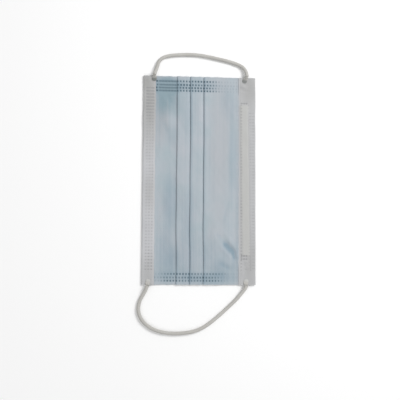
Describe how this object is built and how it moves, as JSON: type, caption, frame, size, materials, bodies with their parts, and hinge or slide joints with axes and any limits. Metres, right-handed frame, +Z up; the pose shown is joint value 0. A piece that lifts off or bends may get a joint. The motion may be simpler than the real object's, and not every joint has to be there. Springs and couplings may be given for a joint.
{
  "type": "surgical face mask",
  "caption": "Pleated three-ply surgical face mask lying folded flat, with turned-over hems, a nose wire in its pocket and two welded elastic ear loops",
  "frame": {"origin": "middle of the underside of the mask, without its ear loops, where it rests on a surface", "axes": "+X along the mask towards the ear that is the left one for the wearer, +Y from the chin edge to the nose edge, +Z up out of the blue outer face"},
  "size_m": [0.2366, 0.0985, 0.005],
  "materials": {
    "outer_cloth": "pale blue spunbond cloth, matt",
    "lining_cloth": "white spunbond cloth, matt",
    "wire": "white plastic over a steel core",
    "elastic": "off-white knitted elastic"
  },
  "bodies": {
    "root": {"pleated_panel": "outer_cloth", "chin_hem": "lining_cloth", "nose_hem": "lining_cloth", "nose_wire": "wire", "loop_end_right_chin": "elastic", "loop_end_right_nose": "elastic", "loop_end_left_chin": "elastic", "loop_end_left_nose": "elastic", "ear_loop_right": "elastic", "ear_loop_left": "elastic"}
  },
  "joints": []
}
